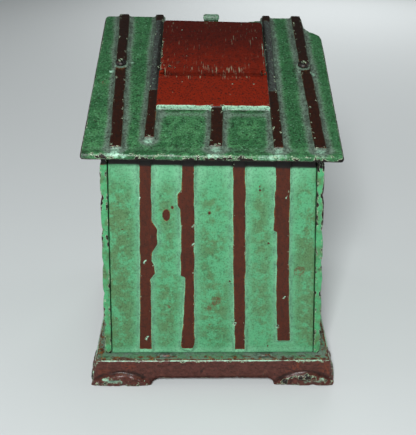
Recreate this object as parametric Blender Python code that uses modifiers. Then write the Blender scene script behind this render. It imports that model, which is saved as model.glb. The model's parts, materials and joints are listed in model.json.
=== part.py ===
"""Cast iron still bank in the shape of a lean-to cabin, assembled from separate castings.

Metres, +Z up.  The origin is under the middle of the bank, on the surface it stands on.
The low side of the roof (the back of the cabin) faces -Y and the high side faces +Y.
"""
import bpy
import bmesh
from math import cos, pi, radians, sin, tan
from mathutils import Matrix, Vector

MM = 0.001
GAP = 0.3 * MM                      # clearance between touching castings

# --- driving dimensions ---------------------------------------------------------------
ROOF_WIDTH = 100 * MM
ROOF_PLAN_DEPTH = 100 * MM
ROOF_SLOPE = radians(15)
ROOF_ASKEW = radians(1.0)           # the roof casting sits a little lower on its right side
ROOF_THICKNESS = 2.5 * MM
EAVE_TOP_HEIGHT = 111.4 * MM

WALL_HALF_DEPTH = 42.6 * MM         # outer faces of the side castings' ends
WALL_INSET = 0.4 * MM               # end walls sit this far inside those ends
WALL_THICKNESS = 3.0 * MM
JOINT_HALF_WIDTH = 44.6 * MM        # inner face of a side wall at the foot
WALL_BATTER = 0.040                 # how far each side wall leans in, per unit of height

BASE_HEIGHT = 12.5 * MM
BASE_TOP_HALF = (51.7 * MM, 47.3 * MM)
BASE_FOOT_HALF = (54.0 * MM, 49.6 * MM)
BASE_SHELL = 3.0 * MM
FOOT_LENGTH = 27.0 * MM
APRON_HEIGHT = 3.4 * MM
APRON_CORNER = 2.6 * MM

BOARD_HEIGHT = 15.6 * MM            # one course of the side walls' boarding
BOARD_BULGE = 0.7 * MM
RELIEF = 1.0 * MM                   # how far the end walls' battens stand out

ROOF_BATTEN_RELIEF = 1.3 * MM
PANEL_RELIEF = 2.2 * MM             # raised panel and hatch above the roof deck
PANEL_LEFT = -22.3 * MM
PANEL_RIGHT = 23.1 * MM
PANEL_START = 29.8 * MM             # measured up the slope from the eave
HATCH_ENDS = (96.3 * MM, 95.3 * MM) # left and right: the hatch's far edge is a little askew
HINGE_UP_SLOPE = 53.1 * MM
HINGE_ABOVE_DECK = 0.4 * MM
BARREL_RADIUS = 1.8 * MM
EAR_WIDTH = 1.8 * MM
EAR_PAST_BARREL = 0.5 * MM
LID_PAST_BARREL = 1.5 * MM          # keeps the lid's back corners clear of the ears as it opens
PIN_RADIUS = 0.8 * MM
PIN_CLEARANCE = 0.2 * MM
PIN_END_WALL = 0.3 * MM             # left at each ear's outer side, past the pin's slot

COIN_SLOT = (36 * MM, 6 * MM)
COIN_SLOT_UP_SLOPE = 76 * MM

SCREW_RADIUS = 1.3 * MM
SCREW_HEAD_RADIUS = 2.45 * MM
ROOF_SCREW_X = 39.2 * MM
ROOF_SCREW_UP_SLOPE = 60.3 * MM
BASE_SCREW_X = 39.8 * MM
BASE_SCREW_Y = 28.0 * MM
LUG = 8.0 * MM

SLOPE_LENGTH = ROOF_PLAN_DEPTH / cos(ROOF_SLOPE)
HALF_ROOF = ROOF_WIDTH / 2
DECK_UNDERSIDE = -ROOF_THICKNESS
WALL_FOOT = BASE_HEIGHT + GAP
SIDE_WALL_TOP = 150 * MM            # taller than needed: the roof plane trims it
ROUND_SIDES = 24


# --- scene helpers --------------------------------------------------------------------
def clear_scene():
    for old in list(bpy.data.objects):
        bpy.data.objects.remove(old, do_unlink=True)


def new_collection(name):
    group = bpy.data.collections.new(name)
    bpy.context.scene.collection.children.link(group)
    return group


def paint(name, colour, roughness=0.5, metallic=0.0):
    """A Principled material with one colour."""
    made = bpy.data.materials.new(name)
    made.use_nodes = True
    made.diffuse_color = (*colour, 1)
    shader = made.node_tree.nodes["Principled BSDF"]
    shader.inputs["Base Color"].default_value = (*colour, 1)
    shader.inputs["Roughness"].default_value = roughness
    shader.inputs["Metallic"].default_value = metallic
    return made


def add_object(name, mesh, group, parent=None, place=Matrix.Identity(4)):
    item = bpy.data.objects.new(name, mesh)
    group.objects.link(item)
    item.parent = parent
    item.matrix_local = place
    return item


def add_empty(name, parent=None, place=Matrix.Identity(4)):
    item = bpy.data.objects.new(name, None)
    item.empty_display_size = 10 * MM
    parts.objects.link(item)
    item.parent = parent
    item.matrix_local = place
    return item


def finish_part(item, material):
    """Give a part its material and keep hard edges sharp under smooth shading."""
    item.data.materials.clear()
    item.data.materials.append(material)
    item.data.shade_smooth()
    item.data.set_sharp_from_angle(angle=radians(35))
    return item


# --- solids ---------------------------------------------------------------------------
def mesh_from(bm, name):
    mesh = bpy.data.meshes.new(name)
    bm.to_mesh(mesh)
    bm.free()
    return mesh


def box_mesh(name, x, y, z):
    """A box between two limits on each axis."""
    bm = bmesh.new()
    bmesh.ops.create_cube(bm, size=1)
    size = [hi - lo for lo, hi in (x, y, z)]
    middle = [(hi + lo) / 2 for lo, hi in (x, y, z)]
    bmesh.ops.scale(bm, vec=size, verts=bm.verts)
    bmesh.ops.translate(bm, vec=middle, verts=bm.verts)
    return mesh_from(bm, name)


def cylinder_mesh(name, radius, low, high, sides=ROUND_SIDES):
    """A cylinder on the Z axis between two heights."""
    bm = bmesh.new()
    bmesh.ops.create_cone(bm, cap_ends=True, segments=sides,
                          radius1=radius, radius2=radius, depth=high - low)
    bmesh.ops.translate(bm, vec=(0, 0, (low + high) / 2), verts=bm.verts)
    return mesh_from(bm, name)


def frustum_mesh(name, foot_half, top_half, low, high):
    """A block whose top rectangle is smaller than its foot."""
    mesh = box_mesh(name, (-1, 1), (-1, 1), (low, high))
    for corner in mesh.vertices:
        half = top_half if corner.co.z > (low + high) / 2 else foot_half
        corner.co.x *= half[0]
        corner.co.y *= half[1]
    return mesh


def prism_mesh(name, outline, low, high):
    """An outline in the XY plane, extruded between two heights."""
    curve = bpy.data.curves.new(name, "CURVE")
    curve.dimensions = "2D"
    curve.fill_mode = "BOTH"
    curve.extrude = (high - low) / 2
    spline = curve.splines.new("POLY")
    spline.points.add(len(outline) - 1)
    for point, (x, y) in zip(spline.points, outline):
        point.co = (x, y, 0, 1)
    spline.use_cyclic_u = True
    carrier = bpy.data.objects.new(name, curve)
    bpy.context.scene.collection.objects.link(carrier)
    evaluated = carrier.evaluated_get(bpy.context.evaluated_depsgraph_get())
    mesh = bpy.data.meshes.new_from_object(evaluated)
    bpy.data.objects.remove(carrier, do_unlink=True)
    bpy.data.curves.remove(curve)
    bm = bmesh.new()
    bm.from_mesh(mesh)
    bmesh.ops.remove_doubles(bm, verts=bm.verts, dist=0.001 * MM)
    bmesh.ops.translate(bm, vec=(0, 0, (low + high) / 2), verts=bm.verts)
    bmesh.ops.recalc_face_normals(bm, faces=bm.faces)
    bm.to_mesh(mesh)
    bm.free()
    mesh.name = name
    return mesh


def turned_mesh(name, profile, sides=ROUND_SIDES):
    """A profile of (radius, height) points, top to bottom, turned about Z with a Screw."""
    bm = bmesh.new()
    corners = [bm.verts.new((radius, 0, height)) for radius, height in profile]
    for first, second in zip(corners, corners[1:]):
        bm.edges.new((first, second))
    carrier = add_object(name + "_profile", mesh_from(bm, name), cutters)
    screw = carrier.modifiers.new("Turn", "SCREW")
    screw.axis = "Z"
    screw.steps = screw.render_steps = sides
    screw.use_merge_vertices = True
    screw.merge_threshold = 0.01 * MM
    evaluated = carrier.evaluated_get(bpy.context.evaluated_depsgraph_get())
    mesh = bpy.data.meshes.new_from_object(evaluated)
    bpy.data.objects.remove(carrier, do_unlink=True)
    mesh.name = name
    return mesh


# --- modifiers ------------------------------------------------------------------------
def boolean(target, tool_mesh, operation, parent=None, place=Matrix.Identity(4)):
    """Join or cut a part with a hidden tool solid."""
    tool = add_object(tool_mesh.name, tool_mesh, cutters, parent, place)
    tool.hide_render = True
    tool.display_type = "WIRE"
    step = target.modifiers.new(tool_mesh.name, "BOOLEAN")
    step.operation = operation
    step.solver = "EXACT"
    step.object = tool


def join(target, tool_mesh, parent=None, place=Matrix.Identity(4)):
    boolean(target, tool_mesh, "UNION", parent, place)


def cut(target, tool_mesh, parent=None, place=Matrix.Identity(4)):
    boolean(target, tool_mesh, "DIFFERENCE", parent, place)


def bevel(item, width, segments=2, angle=40):
    step = item.modifiers.new("Soft edges", "BEVEL")
    step.width = width
    step.segments = segments
    step.limit_method = "ANGLE"
    step.angle_limit = radians(angle)


# --- places ---------------------------------------------------------------------------
def shift(x, y, z):
    return Matrix.Translation(Vector((x, y, z)))


def turn(angle, axis):
    return Matrix.Rotation(angle, 4, axis)


def joint_x(height):
    """Inner face of a side wall at a height."""
    return JOINT_HALF_WIDTH - WALL_BATTER * (height - BASE_HEIGHT)


def upright(outward):
    """Places an outline so that its Y is up and its Z points along outward (-1 or +1) Y."""
    if outward < 0:
        return turn(pi / 2, "X")
    return turn(pi, "Z") @ turn(pi / 2, "X")


# --- base -----------------------------------------------------------------------------
def apron_outline(half_length):
    """Section of the gap between two feet, with rounded top corners."""
    right = [(half_length + APRON_CORNER, -2 * MM)]
    for step in range(4):
        angle = step / 3 * pi / 2
        right.append((half_length + APRON_CORNER * cos(angle), APRON_HEIGHT * sin(angle)))
    return right + [(-x, z) for x, z in reversed(right)]


def make_base():
    base = add_object("base", frustum_mesh("base", BASE_FOOT_HALF, BASE_TOP_HALF, 0, BASE_HEIGHT),
                      parts)
    bevel(base, 0.8 * MM)
    inner_foot = [half - BASE_SHELL for half in BASE_FOOT_HALF]
    inner_top = [half - BASE_SHELL for half in BASE_TOP_HALF]
    cut(base, frustum_mesh("base_hollow", inner_foot, inner_top, -1 * MM, BASE_HEIGHT - BASE_SHELL))
    long_gap = apron_outline(BASE_FOOT_HALF[0] - FOOT_LENGTH - APRON_CORNER)
    side_gap = apron_outline(BASE_FOOT_HALF[1] - FOOT_LENGTH - APRON_CORNER)
    reach = 60 * MM
    cut(base, prism_mesh("gap_front_to_back", long_gap, -reach, reach), place=turn(pi / 2, "X"))
    cut(base, prism_mesh("gap_side_to_side", side_gap, -reach, reach),
        place=turn(pi / 2, "Z") @ turn(pi / 2, "X"))
    for x in (-BASE_SCREW_X, BASE_SCREW_X):
        for y in (-BASE_SCREW_Y, BASE_SCREW_Y):
            hole = cylinder_mesh("base_screw_hole", SCREW_RADIUS + GAP, 5 * MM, 20 * MM)
            cut(base, hole, place=shift(x, y, 0))
    wall_face = WALL_HALF_DEPTH - WALL_INSET
    for side in (-1, 1):
        for x in (-21 * MM, 23 * MM):
            outer = sorted((side * (wall_face + GAP), side * (wall_face + 1.8 * MM)))
            inner = sorted((side * (wall_face - WALL_THICKNESS - GAP),
                            side * (wall_face - WALL_THICKNESS - 2.5 * MM)))
            for limits in (outer, inner):
                join(base, box_mesh("wall_stop", (x - 2.6 * MM, x + 2.6 * MM), limits,
                                    (BASE_HEIGHT - 0.5 * MM, BASE_HEIGHT + 1.6 * MM)))
    return base


# --- side walls -----------------------------------------------------------------------
def board_outline():
    """Section of a side wall: flat inside, a stack of gently rounded boards outside."""
    across_board = (0.0, 0.06, 0.2, 0.5, 0.8, 0.94)
    outer = []
    low = WALL_FOOT
    while low < SIDE_WALL_TOP:
        for share in across_board:
            height = low + share * BOARD_HEIGHT
            groove = BOARD_BULGE * abs(2 * share - 1) ** 5
            outer.append((joint_x(height) + WALL_THICKNESS - groove, height))
        low += BOARD_HEIGHT
    inner = [(joint_x(low), low), (joint_x(WALL_FOOT), WALL_FOOT)]
    return outer + inner


def leaning_bar(name, depth, inner_reach, low, high):
    """A vertical rib on a side wall's inner face that follows its lean."""
    outline = [(joint_x(low) - inner_reach, low), (joint_x(low) + 1 * MM, low),
               (joint_x(high) + 1 * MM, high), (joint_x(high) - inner_reach, high)]
    return prism_mesh(name, outline, -depth / 2, depth / 2)


def make_side_wall(name, side):
    """side is -1 for the left wall and +1 for the right one."""
    mirror = Matrix.Diagonal((side, 1, 1, 1))
    upright_section = turn(pi / 2, "X")

    def handed(mesh):
        """Turns a section upright and mirrors it for the left wall."""
        mesh.transform(mirror @ upright_section)
        if side < 0:
            mesh.flip_normals()
        return mesh

    wall = add_object(name, handed(prism_mesh(name, board_outline(),
                                              -WALL_HALF_DEPTH, WALL_HALF_DEPTH)), parts)
    rib_depth = 2.5 * MM
    rib_y = WALL_HALF_DEPTH - WALL_INSET - WALL_THICKNESS - GAP - rib_depth / 2
    for y in (-rib_y, rib_y):
        rib = handed(leaning_bar("end_wall_rib", rib_depth, 3 * MM, WALL_FOOT, SIDE_WALL_TOP))
        join(wall, rib, place=shift(0, y, 0))
    lug_foot = WALL_FOOT + 0.2 * MM
    for y in (-BASE_SCREW_Y, BASE_SCREW_Y):
        lug = handed(leaning_bar("foot_lug", LUG, LUG, lug_foot, lug_foot + 11 * MM))
        join(wall, lug, place=shift(0, y, 0))
    for y in (-BASE_SCREW_Y, BASE_SCREW_Y):
        hole = cylinder_mesh("foot_lug_hole", SCREW_RADIUS + GAP, 0, 22 * MM)
        cut(wall, hole, place=shift(side * BASE_SCREW_X, y, 0))
    lug_top = DECK_UNDERSIDE - GAP
    inner = ROOF_SCREW_X - LUG / 2 - 1 * MM
    outer = ROOF_SCREW_X + 2.2 * MM
    across = sorted((side * inner, side * outer))
    up_slope = (ROOF_SCREW_UP_SLOPE - LUG / 2, ROOF_SCREW_UP_SLOPE + LUG / 2)
    join(wall, box_mesh("roof_lug", across, up_slope, (lug_top - 12 * MM, lug_top + 2 * MM)),
         parent=roof_plane)
    hole = cylinder_mesh("roof_lug_hole", SCREW_RADIUS + GAP, lug_top - 11 * MM, 10 * MM)
    cut(wall, hole, parent=roof_plane, place=shift(side * ROOF_SCREW_X, ROOF_SCREW_UP_SLOPE, 0))
    above = box_mesh("above_wall", (-80 * MM, 80 * MM), (-30 * MM, 140 * MM),
                     (lug_top, lug_top + 60 * MM))
    cut(wall, above, parent=roof_plane)
    return wall


# --- end walls ------------------------------------------------------------------------
def roof_underside(x, y):
    """Height of the deck's lower face above a point in plan."""
    return EAVE_TOP_HEIGHT + (y + ROOF_PLAN_DEPTH / 2) * tan(ROOF_SLOPE) \
        - x * tan(ROOF_ASKEW) - ROOF_THICKNESS / cos(ROOF_SLOPE)


def end_wall_plate(name, side):
    """Plain plate that fills the space between the side walls."""
    face = side * (WALL_HALF_DEPTH - WALL_INSET)
    top = SIDE_WALL_TOP
    corners = [(joint_x(WALL_FOOT) - GAP, WALL_FOOT), (joint_x(top) - GAP, top)]
    outline = corners + [(-x, z) for x, z in reversed(corners)]
    wall = add_object(name, prism_mesh(name, outline, -WALL_THICKNESS, 0), parts,
                      place=shift(0, face, 0) @ upright(side))
    return wall


def trim_under_roof(wall):
    above = box_mesh("above_wall", (-80 * MM, 80 * MM), (-30 * MM, 140 * MM),
                     (DECK_UNDERSIDE - GAP, 60 * MM))
    cut(wall, above, parent=roof_plane)


def raise_shape(wall, name, outline_mm, height=RELIEF):
    """Stand an outline, in millimetres, out from an end wall's face."""
    outline = [(x * MM, z * MM) for x, z in outline_mm]
    join(wall, prism_mesh(name, outline, -0.8 * MM, height), place=wall.matrix_local.copy())


# Left and right edges of each back batten as (x, height), from the foot up.
REAR_BATTENS_MM = (
    ([(-32.1, 13.8), (-30.8, 40), (-29.4, 75), (-27.4, 130)],
     [(-26.6, 13.8), (-25.8, 52), (-23.8, 55), (-24.1, 59), (-25.0, 61),
      (-24.7, 65), (-22.4, 69), (-22.3, 76), (-24.4, 80), (-22.7, 130)]),
    ([(-13.2, 15.2), (-13.8, 17.5), (-11.6, 45), (-11.3, 53), (-13.2, 53.8), (-12.6, 85),
      (-13.8, 87), (-13.8, 92), (-12.0, 94), (-10.9, 130)],
     [(-9.2, 14.2), (-7.9, 18), (-7.5, 54), (-6.6, 130)]),
    ([(9.8, 13.6), (8.6, 60), (7.7, 130)],
     [(14.2, 13.6), (13.7, 60), (12.6, 130)]),
    ([(28.3, 19.6), (27.0, 42), (26.3, 74.6), (24.9, 75.2), (24.6, 130)],
     [(33.8, 19.6), (32.5, 42), (31.2, 75), (30.0, 130)]),
)


def make_rear_wall():
    wall = end_wall_plate("rear_wall", -1)
    for number, (left, right) in enumerate(REAR_BATTENS_MM, 1):
        raise_shape(wall, f"rear_batten_{number}", left + list(reversed(right)))
    trim_under_roof(wall)
    return wall


def rectangle_mm(x0, x1, z0, z1):
    return [(x0, z0), (x1, z0), (x1, z1), (x0, z1)]


def make_front_wall():
    """The tall side: a ledged plank door, a small window above it and four battens."""
    wall = end_wall_plate("front_wall", 1)
    raise_shape(wall, "door_frame", rectangle_mm(-15, 15, 13.8, 84), 1.2 * MM)
    wall_place = wall.matrix_local.copy()
    recess = box_mesh("door_recess", (-12 * MM, 12 * MM), (16 * MM, 81 * MM),
                      (0.4 * MM, 3 * MM))
    cut(wall, recess, place=wall_place)
    for x in (-6, 0, 6):
        groove = box_mesh("plank_groove", ((x - 0.4) * MM, (x + 0.4) * MM), (16 * MM, 81 * MM),
                          (-0.1 * MM, 1 * MM))
        cut(wall, groove, place=wall_place)
    for z in (26, 66):
        raise_shape(wall, "door_ledge", rectangle_mm(-11, 11, z, z + 6), 1.1 * MM)
    knob = cylinder_mesh("door_knob", 1.5 * MM, -0.5 * MM, 2.2 * MM, 16)
    join(wall, knob, place=wall_place @ shift(9.3 * MM, 48 * MM, 0))
    raise_shape(wall, "window_frame", rectangle_mm(-11, 11, 95, 115), 1.2 * MM)
    for x in (-4.7, 4.7):
        for z in (100.6, 109.4):
            pane = box_mesh("pane", ((x - 3.9) * MM, (x + 3.9) * MM),
                            ((z - 3.6) * MM, (z + 3.6) * MM), (0.3 * MM, 3 * MM))
            cut(wall, pane, place=wall_place)
    for x in (-31, -20.5, 20.5, 31):
        lean = -WALL_BATTER * 115 * x * MM / JOINT_HALF_WIDTH
        raise_shape(wall, "front_batten", [(x - 2.4, 15), (x + 2.4, 15),
                                           (x + 2.2 + lean, 145), (x - 2.2 + lean, 145)])
    trim_under_roof(wall)
    return wall


# --- roof -----------------------------------------------------------------------------
# Centre lines of the roof battens in millimetres: (x, up the slope), eave end first.
ROOF_BATTENS_MM = (
    ("roof_batten_outer_left", (-36.8, 4.5), (-41.0, 103.1), 4.4),
    ("roof_batten_inner_left", (-24.3, 10.5), (-24.3, 103.1), 3.6),
    ("roof_batten_middle", (1.3, 5.5), (2.2, 33.0), 4.8),
    ("roof_batten_inner_right", (25.3, 5.0), (25.1, 103.1), 3.6),
    ("roof_batten_outer_right", (41.3, 5.0), (39.4, 103.1), 4.4),
)
BROKEN_CORNER_MM = [(41.9, 106), (42.4, 96), (43.2, 93.2), (44.9, 91.0), (47.6, 89.4),
                    (48.9, 87.8), (50.2, 85.8), (53, 85.5), (53, 106)]
FRONT_NOTCH_MM = [(-22.0, 106), (-21.6, 95.3), (12.8, 95.3), (14.2, 98.9), (18, 99.6),
                  (22.6, 100.6), (22.8, 106)]


def batten_outline(start, end, width):
    """A straight bar between two points, square at both ends."""
    half = width / 2
    return [(start[0] - half, start[1]), (start[0] + half, start[1]),
            (end[0] + half, end[1]), (end[0] - half, end[1])]


def scaled(outline_mm):
    return [(x * MM, y * MM) for x, y in outline_mm]


def make_roof():
    roof = add_object("roof", box_mesh("roof", (-HALF_ROOF, HALF_ROOF), (0, SLOPE_LENGTH),
                                       (DECK_UNDERSIDE, 0)), parts, roof_plane)
    bevel(roof, 0.7 * MM)
    sunk = -0.6 * MM
    for name, start, end, width in ROOF_BATTENS_MM:
        outline = scaled(batten_outline(start, end, width))
        join(roof, prism_mesh(name, outline, sunk, ROOF_BATTEN_RELIEF), parent=roof_plane)
    panel_end = HINGE_UP_SLOPE - BARREL_RADIUS - GAP
    join(roof, box_mesh("fixed_panel", (PANEL_LEFT, PANEL_RIGHT), (PANEL_START, panel_end),
                        (sunk, PANEL_RELIEF)), parent=roof_plane)
    ear_span = (panel_end - 1 * MM, HINGE_UP_SLOPE + BARREL_RADIUS + EAR_PAST_BARREL)
    join(roof, box_mesh("left_ear", (PANEL_LEFT, PANEL_LEFT + EAR_WIDTH), ear_span,
                        (sunk, PANEL_RELIEF)), parent=roof_plane)
    join(roof, box_mesh("right_ear", (PANEL_RIGHT - EAR_WIDTH, PANEL_RIGHT), ear_span,
                        (sunk, PANEL_RELIEF)), parent=roof_plane)
    barrel_room = (PANEL_LEFT + EAR_WIDTH, PANEL_RIGHT - EAR_WIDTH)
    groove_span = (HINGE_UP_SLOPE - BARREL_RADIUS - GAP, HINGE_UP_SLOPE + BARREL_RADIUS + GAP)
    cut(roof, box_mesh("barrel_groove", barrel_room, groove_span,
                       (HINGE_ABOVE_DECK - BARREL_RADIUS - GAP, 5 * MM)), parent=roof_plane)
    pin_reach = (PANEL_LEFT + PIN_END_WALL, PANEL_RIGHT - PIN_END_WALL)
    pin_room = PIN_RADIUS + PIN_CLEARANCE
    cut(roof, cylinder_mesh("pin_hole", pin_room, *pin_reach, 16), parent=hatch_axis,
        place=turn(pi / 2, "Y"))
    cut(roof, box_mesh("pin_drop_slot", pin_reach, (-pin_room, pin_room), (0, 5 * MM)),
        parent=hatch_axis)
    half_slot = COIN_SLOT[0] / 2
    slot_span = (COIN_SLOT_UP_SLOPE - COIN_SLOT[1] / 2, COIN_SLOT_UP_SLOPE + COIN_SLOT[1] / 2)
    cut(roof, box_mesh("coin_slot", (-half_slot, half_slot), slot_span, (-8 * MM, 8 * MM)),
        parent=roof_plane)
    for x in (-ROOF_SCREW_X, ROOF_SCREW_X):
        place = shift(x, ROOF_SCREW_UP_SLOPE, 0)
        join(roof, cylinder_mesh("screw_boss", 3.1 * MM, sunk, 1.7 * MM), parent=roof_plane,
             place=place)
        cut(roof, cylinder_mesh("screw_hole", SCREW_RADIUS + GAP, -10 * MM, 10 * MM),
            parent=roof_plane, place=place)
    for side, places_mm in ((-1, (-17, 19)), (1, (-9, 9))):
        face = side * (WALL_HALF_DEPTH - WALL_INSET + GAP)
        for x in places_mm:
            height = roof_underside(x * MM, face)
            join(roof, box_mesh("wall_head_stop", ((x - 2.5) * MM, (x + 2.5) * MM),
                                sorted((face, face + side * 1.4 * MM)),
                                (height - 1.6 * MM, height + 1.2 * MM)))
    cut(roof, prism_mesh("broken_corner", scaled(BROKEN_CORNER_MM), -9 * MM, 9 * MM),
        parent=roof_plane)
    cut(roof, prism_mesh("front_notch", scaled(FRONT_NOTCH_MM), -9 * MM, 9 * MM),
        parent=roof_plane)
    return roof


# --- hatch ----------------------------------------------------------------------------
KNOB_X = -0.4 * MM
KNOB_UP_SLOPE = 97.8 * MM
TAB_TOP = 1.3 * MM                  # above the deck: the knob stands behind the lid's edge


def make_hatch():
    """Lid, its hinge barrel and the tab under the knob, drawn about the hinge axis."""
    lid_bottom = GAP - HINGE_ABOVE_DECK
    lid_top = PANEL_RELIEF - HINGE_ABOVE_DECK
    barrel_left = PANEL_LEFT + EAR_WIDTH + GAP
    barrel_right = PANEL_RIGHT - EAR_WIDTH - GAP
    lid_start = BARREL_RADIUS + LID_PAST_BARREL
    left_end, right_end = (end - HINGE_UP_SLOPE for end in HATCH_ENDS)
    lid_right = PANEL_RIGHT - 0.2 * MM
    corner = 1 * MM
    outline = [(PANEL_LEFT, lid_start), (lid_right, lid_start), (lid_right, right_end - corner),
               (lid_right - corner, right_end), (PANEL_LEFT + corner, left_end),
               (PANEL_LEFT, left_end - corner)]
    hatch = add_object("roof_hatch", prism_mesh("roof_hatch", outline, lid_bottom, lid_top), parts,
                       hatch_axis)
    join(hatch, box_mesh("lid_neck", (barrel_left + 0.1 * MM, barrel_right - 0.1 * MM),
                         (0, lid_start + 1 * MM), (lid_bottom + 0.1 * MM, lid_top - 0.1 * MM)),
         parent=hatch_axis)
    barrel = cylinder_mesh("hinge_barrel", BARREL_RADIUS, barrel_left, barrel_right)
    flat_up = turn(pi / ROUND_SIDES, "Z")
    join(hatch, barrel, parent=hatch_axis, place=turn(pi / 2, "Y") @ flat_up)
    tab_middle = KNOB_UP_SLOPE - HINGE_UP_SLOPE
    join(hatch, box_mesh("knob_tab", (KNOB_X - 3.4 * MM, KNOB_X + 3.4 * MM),
                         (left_end - 2 * MM, tab_middle + 2.2 * MM),
                         (lid_bottom + 0.1 * MM, TAB_TOP - HINGE_ABOVE_DECK)),
         parent=hatch_axis)
    bore = cylinder_mesh("hinge_bore", PIN_RADIUS + PIN_CLEARANCE, -30 * MM, 30 * MM, 16)
    cut(hatch, bore, parent=hatch_axis, place=turn(pi / 2, "Y"))
    hole = cylinder_mesh("knob_hole", 1.2 * MM, -5 * MM, 5 * MM, 16)
    cut(hatch, hole, parent=hatch_axis, place=shift(KNOB_X, tab_middle, 0))
    return hatch


def make_knob():
    """Rounded thumb knob whose tenon is headed over below the hatch's tab."""
    stand = TAB_TOP - HINGE_ABOVE_DECK + GAP
    knob = add_object("hatch_knob", box_mesh("hatch_knob", (-3.7 * MM, 3.7 * MM),
                                             (-1.5 * MM, 1.5 * MM), (stand, stand + 2.6 * MM)),
                      parts, hatch_axis, shift(KNOB_X, KNOB_UP_SLOPE - HINGE_UP_SLOPE, 0))
    bevel(knob, 1 * MM, 3)
    tenon_end = GAP - HINGE_ABOVE_DECK - 0.9 * MM
    join(knob, cylinder_mesh("knob_tenon", 0.9 * MM, tenon_end, stand + 1 * MM, 16),
         parent=knob)
    return knob


def make_pin():
    length = (PANEL_LEFT + PIN_END_WALL + GAP, PANEL_RIGHT - PIN_END_WALL - GAP)
    return add_object("hinge_pin", cylinder_mesh("hinge_pin", PIN_RADIUS, *length, 16), parts,
                      roof_plane, hatch_axis.matrix_local @ turn(pi / 2, "Y"))


# --- screws ---------------------------------------------------------------------------
def round_head_screw(name, shank_length, parent, place):
    """Slotted round-head screw: seat of the head at z = 0, shank downwards."""
    head_height = 1.7 * MM
    arc = [(SCREW_HEAD_RADIUS * sin(step / 6 * pi / 2), head_height * cos(step / 6 * pi / 2))
           for step in range(7)]
    profile = arc + [(SCREW_RADIUS, 0), (SCREW_RADIUS, 0.6 * MM - shank_length),
                     (SCREW_RADIUS - 0.5 * MM, -shank_length), (0, -shank_length)]
    screw = add_object(name, turned_mesh(name, profile), parts, parent, place)
    slot = box_mesh("driver_slot", (-0.35 * MM, 0.35 * MM), (-4 * MM, 4 * MM),
                    (head_height - 0.8 * MM, head_height + 1 * MM))
    cut(screw, slot, parent=screw)
    return screw


# --- build ----------------------------------------------------------------------------
clear_scene()
parts = new_collection("cast_iron_still_bank")
cutters = new_collection("cutters")
roof_plane = add_empty("roof_plane", place=shift(0, -ROOF_PLAN_DEPTH / 2, EAVE_TOP_HEIGHT)
                       @ turn(ROOF_ASKEW, "Y") @ turn(ROOF_SLOPE, "X"))
hatch_axis = add_empty("hatch_axis", roof_plane, shift(0, HINGE_UP_SLOPE, HINGE_ABOVE_DECK))

green = paint("green_casting_paint", (0.13, 0.36, 0.18))
brown = paint("brown_base_paint", (0.10, 0.035, 0.022))
red = paint("red_hatch_paint", (0.30, 0.035, 0.015))
pale = paint("pale_green_knob_paint", (0.30, 0.52, 0.32))
steel = paint("worn_iron", (0.09, 0.075, 0.065), 0.45, 0.9)

finish_part(make_base(), brown)
finish_part(make_side_wall("left_wall", -1), green)
finish_part(make_side_wall("right_wall", 1), green)
finish_part(make_rear_wall(), green)
finish_part(make_front_wall(), green)
finish_part(make_roof(), green)
finish_part(make_hatch(), red)
finish_part(make_knob(), pale)
finish_part(make_pin(), steel)

HEAD_SEAT = 1.7 * MM + GAP
for label, x in (("left", -ROOF_SCREW_X), ("right", ROOF_SCREW_X)):
    seat = shift(x, ROOF_SCREW_UP_SLOPE, HEAD_SEAT) @ turn(radians(35), "Z")
    finish_part(round_head_screw(f"roof_screw_{label}", 14 * MM, roof_plane, seat), steel)
for end, y in (("rear", -BASE_SCREW_Y), ("front", BASE_SCREW_Y)):
    for label, x in (("left", -BASE_SCREW_X), ("right", BASE_SCREW_X)):
        seat = shift(x, y, BASE_HEIGHT - BASE_SHELL - GAP) @ turn(pi, "X")
        finish_part(round_head_screw(f"base_screw_{end}_{label}", 11 * MM, None, seat), steel)
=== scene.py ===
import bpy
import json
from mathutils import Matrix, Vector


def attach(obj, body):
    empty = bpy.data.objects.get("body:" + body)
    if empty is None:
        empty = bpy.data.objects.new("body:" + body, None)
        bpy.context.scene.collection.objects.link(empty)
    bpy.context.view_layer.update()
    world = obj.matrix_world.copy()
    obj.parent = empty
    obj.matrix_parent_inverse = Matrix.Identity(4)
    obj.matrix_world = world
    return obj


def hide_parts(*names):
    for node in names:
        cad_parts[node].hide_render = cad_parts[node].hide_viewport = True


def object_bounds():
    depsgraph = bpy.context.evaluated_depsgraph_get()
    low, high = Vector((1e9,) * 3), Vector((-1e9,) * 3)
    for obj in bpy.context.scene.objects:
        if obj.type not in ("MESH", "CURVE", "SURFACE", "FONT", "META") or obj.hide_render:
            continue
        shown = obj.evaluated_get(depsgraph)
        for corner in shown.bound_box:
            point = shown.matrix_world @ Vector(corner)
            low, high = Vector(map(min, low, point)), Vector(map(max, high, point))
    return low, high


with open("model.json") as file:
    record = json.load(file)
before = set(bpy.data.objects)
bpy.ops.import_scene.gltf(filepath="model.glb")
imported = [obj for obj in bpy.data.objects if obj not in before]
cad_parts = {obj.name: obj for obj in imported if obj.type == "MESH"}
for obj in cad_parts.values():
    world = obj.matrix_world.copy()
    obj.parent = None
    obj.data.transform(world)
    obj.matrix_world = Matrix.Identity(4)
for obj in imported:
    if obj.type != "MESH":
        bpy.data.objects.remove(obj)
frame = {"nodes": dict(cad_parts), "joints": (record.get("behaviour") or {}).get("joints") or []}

"""Looks of a painted cast iron cabin bank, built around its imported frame.

Every casting is a dense, soft-edged skin grown over its CAD solid and then worked as a
foundry pattern would leave it: wavy battens, rounded boards, swollen feet and a sandy grain.
The finish is old oil enamel: a green dip with brown and red brushed over the raised faces.
"""
import json
from itertools import product
from math import cos, pi, radians

import bpy
import numpy as np
from bpy.props import FloatProperty, FloatVectorProperty, IntProperty, PointerProperty
from mathutils import Matrix, Vector

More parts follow.
